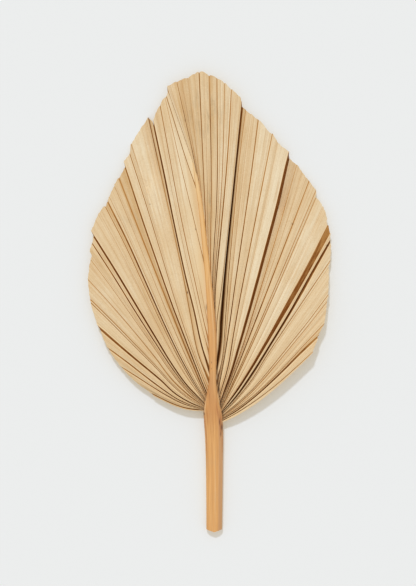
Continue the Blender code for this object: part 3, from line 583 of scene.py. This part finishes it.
def blade():
    """The leaf's mesh, with its colour values at each point."""
    columns = all_columns()
    share = (np.arange(STATIONS + 1) / STATIONS) ** CROWDING
    plan = in_plan(columns, share)
    top, thick = heights(columns, plan, share)
    upper = np.concatenate([plan, top[..., None]], 2)
    under = np.concatenate([plan, (top - thick)[..., None]], 2)
    mesh = sheet_mesh("leaf", upper, under)

    along = column_of(np.linalg.norm(plan[:, -1] - plan[:, 0], axis=1)) * share
    rim_steps = np.linalg.norm(np.diff(plan[:, -1], axis=0), axis=1)
    across = column_of(np.cumsum(np.concatenate([[0.0], rim_steps]))) * np.ones_like(share)
    hollow = column_of([0.0 if c.across is None else max(1.0 - abs(c.across), 0.0) for c in columns])
    base = 1 - share
    # Golden towards the midrib, with painted shade in the grooves there.
    tone = column_of([c.tone for c in columns]) - (BASE_GOLD + HOLLOW_SHADE * hollow) * base**3
    tone -= EDGE_GOLD * beside_midrib(plan)
    # The ridges' painted highlight, stronger towards the midrib.
    pale = column_of([c.pale for c in columns]) * (1 + BASE_RIDGE_HIGHLIGHT * base**2)
    pale = pale + BASE_HIGHLIGHT * (1 - hollow) ** 2 * base**4
    brown, dark = (along_columns(columns, name, share) for name in ("brown", "dark"))
    add_values(mesh, "fold", brown, dark, pale)
    add_values(mesh, "place", across, along, tone)
    return mesh


def smooth_across(values, times):
    """The values evened out from column to column, so many times over."""
    for _ in range(times):
        padded = np.vstack([values[:1], values, values[-1:]])
        values = (padded[:-2] + 2 * padded[1:-1] + padded[2:]) / 4
    return values


def along_columns(columns, name, share):
    """A value that the columns give at COLOUR_PLACES, at every station of every column."""
    return np.array([np.interp(share, COLOUR_PLACES, getattr(c, name)) for c in columns])


def sheet_mesh(name, top, under):
    """A closed sheet between two grids of points, each a row for every column."""
    columns, rows = top.shape[:2]
    count = columns * rows
    index = np.arange(count).reshape(columns, rows)
    a, b, c, d = index[:-1, :-1], index[1:, :-1], index[1:, 1:], index[:-1, 1:]
    upper = np.stack([a, b, c, d], -1).reshape(-1, 4)
    lower = upper[:, ::-1] + count
    border = np.concatenate([index[:, 0], index[-1, 1:], index[-2::-1, -1], index[0, -2:0:-1]])
    after = np.roll(border, -1)
    sides = np.stack([border + count, after + count, after, border], -1)
    quads = np.concatenate([upper, lower, sides])
    points = np.concatenate([top.reshape(-1, 3), under.reshape(-1, 3)])
    mesh = bpy.data.meshes.new(name)
    mesh.vertices.add(len(points))
    mesh.vertices.foreach_set("co", ((points - OUTLINE_CENTRE) * MM).astype(np.float32).ravel())
    mesh.loops.add(quads.size)
    mesh.loops.foreach_set("vertex_index", quads.astype(np.int32).ravel())
    mesh.polygons.add(len(quads))
    mesh.polygons.foreach_set("loop_start", np.arange(0, quads.size, quads.shape[1], dtype=np.int32))
    mesh.update(calc_edges=True)
    mesh.validate()
    return mesh


def add_values(mesh, name, *values):
    """Stores three values at each place of the sheet, alike on its top and its underside."""
    full = np.stack(values, 2).reshape(-1, len(values))
    layer = mesh.attributes.new(name, "FLOAT_VECTOR", "POINT")
    layer.data.foreach_set("vector", np.concatenate([full, full]).astype(np.float32).ravel())


STALK_STATIONS = 150  # spans from its cut end to the midrib's tip
STALK_SIDES = 64  # points round it
STALK_CORNER_CUTS = 2  # how often the section's corners are cut, which rounds them
STALK_CORNER_SHARE = 0.2  # share of each side that a cut takes at either end
# One ring of the stalk, anticlockwise from its right side: share of the half width, share of the height.
STALK_SECTION = (
    (1.0, 0.42), (0.97, 0.7), (0.56, 0.97), (0.5, 1.0), (0.0, 1.0),
    (-0.6, 1.0), (-0.68, 0.98), (-0.96, 0.72), (-1.0, 0.42), (-0.86, 0.14),
    (-0.52, 0.0), (0.52, 0.0), (0.86, 0.14),
)
FIBRE_RELIEF = 0.05  # how far the fibres stand out
FULL_RELIEF = 6.0  # half width of the stalk from which that is full


def stalk_section():
    """The section's outline with its corners cut, as evenly spread places round it."""
    corners = np.array(STALK_SECTION)
    for _ in range(STALK_CORNER_CUTS):
        following = np.roll(corners, -1, axis=0)
        near, far = 1 - STALK_CORNER_SHARE, STALK_CORNER_SHARE
        corners = np.stack([corners * near + following * far, corners * far + following * near], 1)
        corners = corners.reshape(-1, 2)
    closed = np.vstack([corners, corners[:1]])
    steps = np.linalg.norm(np.diff(closed, axis=0), axis=1)
    places = np.concatenate([[0.0], np.cumsum(steps)])
    wanted = np.linspace(0, places[-1], STALK_SIDES, endpoint=False)
    return np.stack([np.interp(wanted, places, closed[:, i]) for i in range(2)], 1)


def stalk():
    """The mesh of the stalk and midrib, with the place on it stored at each point."""
    draw = np.random.default_rng(SEED + 1)
    section = stalk_section()
    across, up = section[:, 0], section[:, 1]
    length = MIDRIB_TIP - TIP_RELIEF - STALK_END
    fibres = draw.normal(0, 1, STALK_SIDES)
    rings = []
    ribs = []
    for i in range(STALK_STATIONS + 1):
        along = STALK_END + length * i / STALK_STATIONS
        left, right, under, top = smooth_row(STALK_OUTLINE, along)
        middle, half = (left + right) / 2, (right - left) / 2
        relief = FIBRE_RELIEF * fibres * min(half / FULL_RELIEF, 1.0)
        x = middle + (half + relief) * across
        height = np.maximum(under + (top - under) * up + relief * (up - 0.5), 0.0)
        point = STALK_CUT_POINT * (1 - np.abs(across)) if i == 0 else 0.0
        rings.append(np.stack([x, along - point + 0 * x, height], 1))
        ribs.append(np.stack([across, along + 0 * x, up], 1))
    points = np.concatenate(rings + [rings[0].mean(0)[None], rings[-1].mean(0)[None]])
    index = np.arange(len(rings) * STALK_SIDES).reshape(len(rings), STALK_SIDES)
    after = np.roll(index, -1, axis=1)
    quads = np.stack([index[:-1], index[1:], after[1:], after[:-1]], -1).reshape(-1, 4)
    near, far = len(points) - 2, len(points) - 1
    faces = [tuple(int(v) for v in quad) for quad in quads]
    faces += [(near, int(a), int(b)) for a, b in zip(index[0], after[0])]
    faces += [(far, int(b), int(a)) for a, b in zip(index[-1], after[-1])]
    mesh = bpy.data.meshes.new("stalk")
    mesh.from_pydata([tuple(p) for p in (points - OUTLINE_CENTRE) * MM], [], faces)
    ends = np.array([[0.0, STALK_END, 0.5], [0.0, MIDRIB_TIP, 0.5]])
    layer = mesh.attributes.new("rib", "FLOAT_VECTOR", "POINT")
    layer.data.foreach_set("vector", np.concatenate(ribs + [ends]).astype(np.float32).ravel())
    mesh.validate()
    return mesh


def fill(node, **values):
    """Sets inputs of a node by their names, which have an underscore here for each space."""
    for name, value in values.items():
        node.inputs[name.replace("_", " ")].default_value = value


class Nodes:
    """A material's nodes, made and joined one call at a time."""

    def __init__(self, name):
        self.material = bpy.data.materials.new(name)
        self.material.use_nodes = True
        self.tree = self.material.node_tree
        self.surface = self.tree.nodes["Principled BSDF"]

    def add(self, kind, **settings):
        node = self.tree.nodes.new("ShaderNode" + kind)
        for key, value in settings.items():
            setattr(node, key, value)
        return node

    def join(self, source, target):
        self.tree.links.new(source, target)

    def number(self, target, value):
        if hasattr(value, "links"):
            self.join(value, target)
        else:
            target.default_value = value

    def math(self, operation, *values, clamp=False):
        node = self.add("Math", operation=operation, use_clamp=clamp)
        for socket, value in zip(node.inputs, values):
            self.number(socket, value)
        return node.outputs[0]

    def mix(self, share, first, second):
        node = self.add("Mix", data_type="RGBA")
        self.number(node.inputs["Factor"], share)
        for socket, value in ((node.inputs[6], first), (node.inputs[7], second)):
            self.number(socket, value if hasattr(value, "links") else (*value, 1.0))
        return node.outputs[2]

    def noise(self, vector, scale, detail=2.0, rough=0.5):
        node = self.add("TexNoise")
        fill(node, Scale=scale, Detail=detail, Roughness=rough)
        self.join(vector, node.inputs["Vector"])
        return node.outputs["Fac"]

    def scaled(self, vector, scale, shift=(0.0, 0.0, 0.0)):
        node = self.add("Mapping")
        fill(node, Scale=scale, Location=shift)
        self.join(vector, node.inputs["Vector"])
        return node.outputs[0]

    def ramp(self, value, low, high):
        """0 at low and 1 at high, which may be the lower one, and smooth between."""
        node = self.add("MapRange", interpolation_type="SMOOTHSTEP")
        self.join(value, node.inputs["Value"])
        fill(node, From_Min=low, From_Max=high)
        return node.outputs[0]

    def bump(self, height, distance, strength):
        node = self.add("Bump")
        fill(node, Strength=strength, Distance=distance)
        self.join(height, node.inputs["Height"])
        self.join(node.outputs[0], self.surface.inputs["Normal"])

    def split(self, vector):
        node = self.add("SeparateXYZ")
        self.join(vector, node.inputs[0])
        return node.outputs

    def values(self, name):
        return self.add("Attribute", attribute_name=name).outputs["Vector"]

    def near(self, vector, centre, radii):
        """1 at the centre, in the vector's own units, and 0 from the radii on."""
        scale = [1 / radius for radius in radii] + [0.0]
        shift = [-place / radius for place, radius in zip(centre, radii)] + [0.0]
        moved = self.scaled(vector, scale, shift)
        length = self.add("VectorMath", operation="LENGTH")
        self.join(moved, length.inputs[0])
        return self.ramp(length.outputs["Value"], 1.0, 0.0)

    def spread(self, value, amount):
        """A noise's value as a swing of up to about this amount round 0."""
        return self.math("MULTIPLY_ADD", value, 2 * amount, -amount)

    def paint(self, share, under, colour, strength):
        return self.mix(self.math("MULTIPLY", share, strength, clamp=True), under, colour)

    def spots(self, here, colour, places, paint):
        """The colour with a spot of paint at each of the places of the layout."""
        for x, y, rx, ry, strength in places:
            mask = self.near(here, part_place(x, y), (rx * MM, ry * MM))
            colour = self.paint(mask, colour, paint, strength)
        return colour


def part_place(x, y):
    """A place in plan of the layout as the part's own coordinates in metres."""
    return (x - OUTLINE_CENTRE[0]) * MM, (y - OUTLINE_CENTRE[1]) * MM


# Spots on the fan: place in the layout, radii, strength. The scurf from the bud still sticks in a strip
# beside the midrib's right side.
SCURF = (
    (3.2, 37.5, 1.3, 4.5, 1.0),
    (3.9, 29.0, 1.5, 9.0, 1.0),
    (4.8, 18.0, 1.6, 9.0, 0.95),
    (6.2, 6.0, 1.4, 8.0, 0.8),
    (8.2, -4.0, 1.3, 6.0, 0.6),
)
GREY_STAINS = (
    (-3.5, 175.0, 4.5, 62.0, 0.9),
    (-8.0, 268.0, 32.0, 46.0, 0.5),
    (-70.0, 170.0, 30.0, 14.0, 0.3),
)
SPECKS = (
    (-23.7, 105.6, 1.0, 1.9, 0.9),
    (103.7, 148.3, 2.2, 1.6, 0.8),
    (-16.3, 163.0, 0.8, 1.8, 0.6),
    (-6.5, 92.0, 1.2, 5.0, 0.5),
    (-26.0, 262.0, 0.7, 3.0, 0.5),
    (72.0, 168.0, 2.4, 1.8, 0.3),
    (-58.0, 186.0, 1.5, 1.0, 0.4),
)

# The leaf's colours, from the most golden tone to the palest, and then what is painted over them: stains
# and grain, painted highlight on the ridges, brown in the grooves that is partly staining and partly
# painted shade, and painted shade at the grooves' cores.
TAN = (0.50, 0.28, 0.12)
GOLD = (0.64, 0.42, 0.20)
STRAW = (0.765, 0.58, 0.35)
CREAM = (0.85, 0.72, 0.505)
VEIN_PAINT = (0.60, 0.36, 0.14)
HAIRLINE_PAINT = (0.52, 0.30, 0.11)
CREASE_PAINT = (0.52, 0.27, 0.09)
MOTTLE_PAINT = (0.50, 0.34, 0.18)
DARK_GRAIN_PAINT = (0.56, 0.38, 0.19)
PALE_GRAIN_PAINT = (0.97, 0.84, 0.62)
GREY_PAINT = (0.36, 0.25, 0.13)
RIDGE_HIGHLIGHT_PAINT = (1.0, 0.80, 0.50)
LIGHT_BROWN = (0.54, 0.28, 0.085)
DEEP_BROWN = (0.225, 0.07, 0.012)
GROOVE_SHADE_PAINT = (0.05, 0.015, 0.004)
SPECK_PAINT = (0.12, 0.05, 0.02)
SCURF_PAINT = (0.17, 0.085, 0.04)
LEAF_ROUGHNESS = 0.62
LEAF_SHINE = 0.05
VEIN_HEIGHT = 0.0004  # metres


def leaf_material():
    n = Nodes("leaf")
    brown, dark, pale = n.split(n.values("fold"))
    place = n.values("place")
    tone = n.split(place)[2]
    here = n.add("TexCoord").outputs["Object"]
    # The stretched noises run along the folds, across and along the leaf in millimetres.
    veins = n.noise(n.scaled(place, (0.6, 0.008, 0.0)), 1.0, 3.0, 0.65)
    hairlines = n.noise(n.scaled(place, (1.9, 0.02, 0.0)), 1.0, 2.0, 0.6)
    streaks = n.noise(n.scaled(place, (0.17, 0.006, 0.0)), 1.0, 2.0)
    patches = n.noise(here, 26.0, 3.0)
    mottle = n.noise(here, 420.0, 3.0, 0.7)
    blotches = n.noise(n.scaled(place, (0.35, 0.07, 0.0)), 1.0, 4.0, 0.7)
    grain = n.noise(here, 1100.0, 2.0, 0.6)
    creases = n.noise(n.scaled(place, (0.22, 0.0025, 0.0)), 1.0, 2.0, 0.55)
    crease = n.ramp(n.math("ABSOLUTE", n.spread(creases, 0.5)), 0.035, 0.0)
    swing = n.math("ADD", n.spread(streaks, 1.3), n.spread(patches, 0.8))
    swing = n.math("ADD", swing, n.spread(blotches, 0.7))
    tone = n.math("ADD", tone, swing)
    colour = n.mix(n.ramp(tone, -2.2, -1.0), TAN, GOLD)
    colour = n.mix(n.ramp(tone, -1.2, 0.1), colour, STRAW)
    colour = n.mix(n.ramp(tone, 0.0, 1.2), colour, CREAM)
    colour = n.paint(n.ramp(veins, 0.5, 0.72), colour, VEIN_PAINT, 0.3)
    colour = n.paint(n.ramp(hairlines, 0.55, 0.8), colour, HAIRLINE_PAINT, 0.3)
    colour = n.paint(crease, colour, CREASE_PAINT, 0.35)
    colour = n.paint(n.ramp(mottle, 0.5, 0.8), colour, MOTTLE_PAINT, 0.3)
    colour = n.paint(n.ramp(grain, 0.5, 0.8), colour, DARK_GRAIN_PAINT, 0.3)
    colour = n.paint(n.ramp(grain, 0.45, 0.2), colour, PALE_GRAIN_PAINT, 0.3)
    for x, y, rx, ry, strength in GREY_STAINS:
        mask = n.near(here, part_place(x, y), (rx * MM, ry * MM))
        mask = n.math("MULTIPLY", mask, n.ramp(blotches, 0.45, 0.65))
        colour = n.paint(mask, colour, GREY_PAINT, strength)
    # Painted highlight along the ridges' crests.
    colour = n.paint(pale, colour, RIDGE_HIGHLIGHT_PAINT, 0.65)
    # Brown in the grooves: partly the leaf's own staining, partly painted shade on walls turned from the
    # light.
    stain_and_shade = n.math("MULTIPLY", brown, n.math("ADD", n.spread(blotches, 0.6), 1.0), clamp=True)
    colour = n.mix(n.ramp(stain_and_shade, 0.0, 0.6), colour, LIGHT_BROWN)
    colour = n.mix(n.ramp(stain_and_shade, 0.5, 1.05), colour, DEEP_BROWN)
    # Painted shade at the grooves' cores.
    colour = n.paint(dark, colour, GROOVE_SHADE_PAINT, 0.95)
    colour = n.spots(here, colour, SPECKS, SPECK_PAINT)
    colour = n.spots(here, colour, SCURF, SCURF_PAINT)
    n.join(colour, n.surface.inputs["Base Color"])
    fill(n.surface, Roughness=LEAF_ROUGHNESS, Specular_IOR_Level=LEAF_SHINE)
    n.bump(veins, VEIN_HEIGHT, 0.8)
    return n.material


# Marks on the stalk: share of its half width and place along it, radii of the two, strength.
REDDISH_MARKS = (
    (-0.6, -6.0, 0.16, 16.0, 0.7),
    (-0.98, -8.0, 0.22, 22.0, 0.9),
    (-0.85, -30.0, 0.12, 34.0, 0.6),
    (-0.7, 16.0, 0.5, 22.0, 0.35),
    (-0.4, 5.0, 0.12, 26.0, 0.4),
    (0.2, 8.0, 0.1, 24.0, 0.35),
    (0.72, -14.0, 0.2, 18.0, 0.9),
    (0.5, -2.0, 0.14, 14.0, 0.75),
    (0.0, 2.0, 1.1, 34.0, 0.3),
    (0.9, -30.0, 0.16, 20.0, 0.6),
    (-0.95, 62.0, 0.22, 60.0, 0.5),
    (0.95, 70.0, 0.2, 50.0, 0.4),
)
PALE_MARKS = (
    (-0.88, 3.0, 0.12, 12.0, 0.8),
    (0.1, -70.0, 0.12, 60.0, 0.3),
    (0.9, 8.0, 0.12, 14.0, 0.8),
    (-0.2, 170.0, 0.8, 60.0, 0.25),
    (0.3, 95.0, 0.3, 60.0, 0.35),
)
DARK_MARKS = (
    (0.95, 25.0, 0.22, 17.0, 0.8),
    (0.62, -12.0, 0.12, 5.0, 0.7),
    (0.85, -17.0, 0.2, 6.0, 0.8),
    (0.74, -23.0, 0.1, 3.5, 0.7),
    (-1.0, -4.5, 0.25, 2.5, 0.9),
    (-0.35, 42.0, 0.16, 1.6, 0.7),
    (-0.4, 36.5, 0.14, 1.3, 0.6),
    (-0.5, 12.0, 0.1, 6.0, 0.3),
)
MARKS = (
    (REDDISH_MARKS, (0.46, 0.17, 0.05)),
    (PALE_MARKS, (0.93, 0.68, 0.38)),
    (DARK_MARKS, (0.10, 0.03, 0.015)),
)

# The stalk's colours: its broad streaks, its stains, the midrib and its tip, fibres, and painted shade
# on the head's right side.
DEEP_ORANGE = (0.64, 0.315, 0.105)
ORANGE = (0.80, 0.425, 0.145)
STALK_STAIN = (0.58, 0.33, 0.15)
MIDRIB_ORANGE = (0.86, 0.52, 0.195)
MIDRIB_TIP_STRAW = (0.82, 0.585, 0.30)
DARK_FIBRE = (0.44, 0.19, 0.055)
PALE_FIBRE = (0.96, 0.64, 0.30)
SHADED_SIDE_PAINT = (0.58, 0.32, 0.155)
STALK_ROUGHNESS = 0.5
STALK_SHINE = 0.4
FIBRE_HEIGHT = 0.0003  # metres


def stalk_material():
    n = Nodes("stalk")
    rib = n.values("rib")
    across, along = n.split(rib)[:2]
    here = n.add("TexCoord").outputs["Object"]
    fibre = n.noise(n.scaled(here, (1800.0, 22.0, 900.0)), 1.0, 3.0, 0.6)
    broad = n.noise(n.scaled(here, (420.0, 9.0, 160.0)), 1.0, 2.0)
    patches = n.noise(here, 45.0, 3.0)
    colour = n.mix(n.ramp(broad, 0.25, 0.75), DEEP_ORANGE, ORANGE)
    colour = n.paint(n.ramp(patches, 0.45, 0.75), colour, STALK_STAIN, 0.35)
    colour = n.paint(n.ramp(along, 60.0, 150.0), colour, MIDRIB_ORANGE, 0.6)
    colour = n.paint(n.ramp(along, 165.0, 215.0), colour, MIDRIB_TIP_STRAW, 0.8)
    colour = n.paint(n.ramp(fibre, 0.5, 0.72), colour, DARK_FIBRE, 0.35)
    colour = n.paint(n.ramp(fibre, 0.5, 0.3), colour, PALE_FIBRE, 0.25)
    # Painted shade on the head's right side, which is turned from the light.
    side = n.math("MULTIPLY", n.ramp(across, 0.38, 0.6), n.ramp(along, 4.0, -12.0))
    colour = n.paint(side, colour, SHADED_SIDE_PAINT, 0.75)
    for places, paint in MARKS:
        for x, y, rx, ry, strength in places:
            colour = n.paint(n.near(rib, (x, y), (rx, ry)), colour, paint, strength)
    colour = n.spots(here, colour, SCURF, SCURF_PAINT)
    n.join(colour, n.surface.inputs["Base Color"])
    fill(n.surface, Roughness=STALK_ROUGHNESS, Specular_IOR_Level=STALK_SHINE)
    n.bump(fibre, FIBRE_HEIGHT, 0.7)
    return n.material


def add_piece(name, mesh, material, node, sharp):
    """Puts a mesh in the scene in place of a node, with edges from so many degrees on left sharp."""
    mesh.shade_smooth()
    mesh.set_sharp_from_angle(angle=math.radians(sharp))
    mesh.materials.append(material)
    piece = bpy.data.objects.new(name, mesh)
    bpy.context.scene.collection.objects.link(piece)
    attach(piece, "root")
    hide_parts(node)


FLOOR_SIDE = 4.0  # metres from the middle to each side
FLOOR_COLOUR = (0.515, 0.607, 0.735)
FLOOR_GLOW = (1.0, 0.77, 0.40)  # a little light of its own, which warms the shadows
FLOOR_GLOW_STRENGTH = 0.32
FLOOR_ROUGHNESS = 0.9
FLOOR_SHINE = 0.1
SUN_FROM = (-0.134, 0.629, 0.766)
SUN_STRENGTH = 1.45
SUN_SPREAD = 5
SKY_COLOUR = (1.0, 0.985, 0.96)
SKY_STRENGTH = 0.65


def studio():
    floor_mesh = bpy.data.meshes.new("floor")
    side = FLOOR_SIDE
    floor_mesh.from_pydata(
        [(-side, -side, 0), (side, -side, 0), (side, side, 0), (-side, side, 0)], [], [(0, 1, 2, 3)]
    )
    floor = bpy.data.objects.new("floor", floor_mesh)
    bpy.context.scene.collection.objects.link(floor)
    n = Nodes("floor")
    fill(n.surface, Base_Color=(*FLOOR_COLOUR, 1.0), Roughness=FLOOR_ROUGHNESS)
    fill(n.surface, Emission_Color=(*FLOOR_GLOW, 1.0), Emission_Strength=FLOOR_GLOW_STRENGTH)
    fill(n.surface, Specular_IOR_Level=FLOOR_SHINE)
    floor_mesh.materials.append(n.material)

    sun = bpy.data.lights.new("sun", "SUN")
    sun.energy = SUN_STRENGTH
    sun.angle = math.radians(SUN_SPREAD)
    lamp = bpy.data.objects.new("sun", sun)
    lamp.rotation_mode = "QUATERNION"
    lamp.rotation_quaternion = Vector(SUN_FROM).to_track_quat("Z", "Y")
    bpy.context.scene.collection.objects.link(lamp)

    world = bpy.data.worlds.new("world")
    world.use_nodes = True
    fill(world.node_tree.nodes["Background"], Color=(*SKY_COLOUR, 1.0), Strength=SKY_STRENGTH)
    bpy.context.scene.world = world
    bpy.context.scene.view_settings.view_transform = "Standard"
    bpy.context.scene.view_settings.look = "None"


PIXEL = 0.91  # what one pixel of the photo spans on the fan
PHOTO_HEIGHT = 586  # pixels
VIEW_CENTRE = Vector((-1.45, 8.05, 6.0))  # in the part's own frame
CAMERA_DISTANCE = 1500.0
SENSOR = 36.0  # along the photo's longer side, its height


def camera():
    """The camera looks straight down, as in the photo."""
    lens = bpy.data.cameras.new("camera")
    lens.sensor_width = SENSOR
    lens.lens = SENSOR / 2 / (PHOTO_HEIGHT * PIXEL / 2 / CAMERA_DISTANCE)
    lens.clip_start = 0.01
    lens.clip_end = 50.0
    eye = bpy.data.objects.new("camera", lens)
    eye.location = (VIEW_CENTRE + Vector((0, 0, CAMERA_DISTANCE))) * MM
    bpy.context.scene.collection.objects.link(eye)
    bpy.context.scene.camera = eye


add_piece("leaf_blade", blade(), leaf_material(), "blade", sharp=40)
add_piece("stalk_and_midrib", stalk(), stalk_material(), "stalk", sharp=50)
studio()
camera()
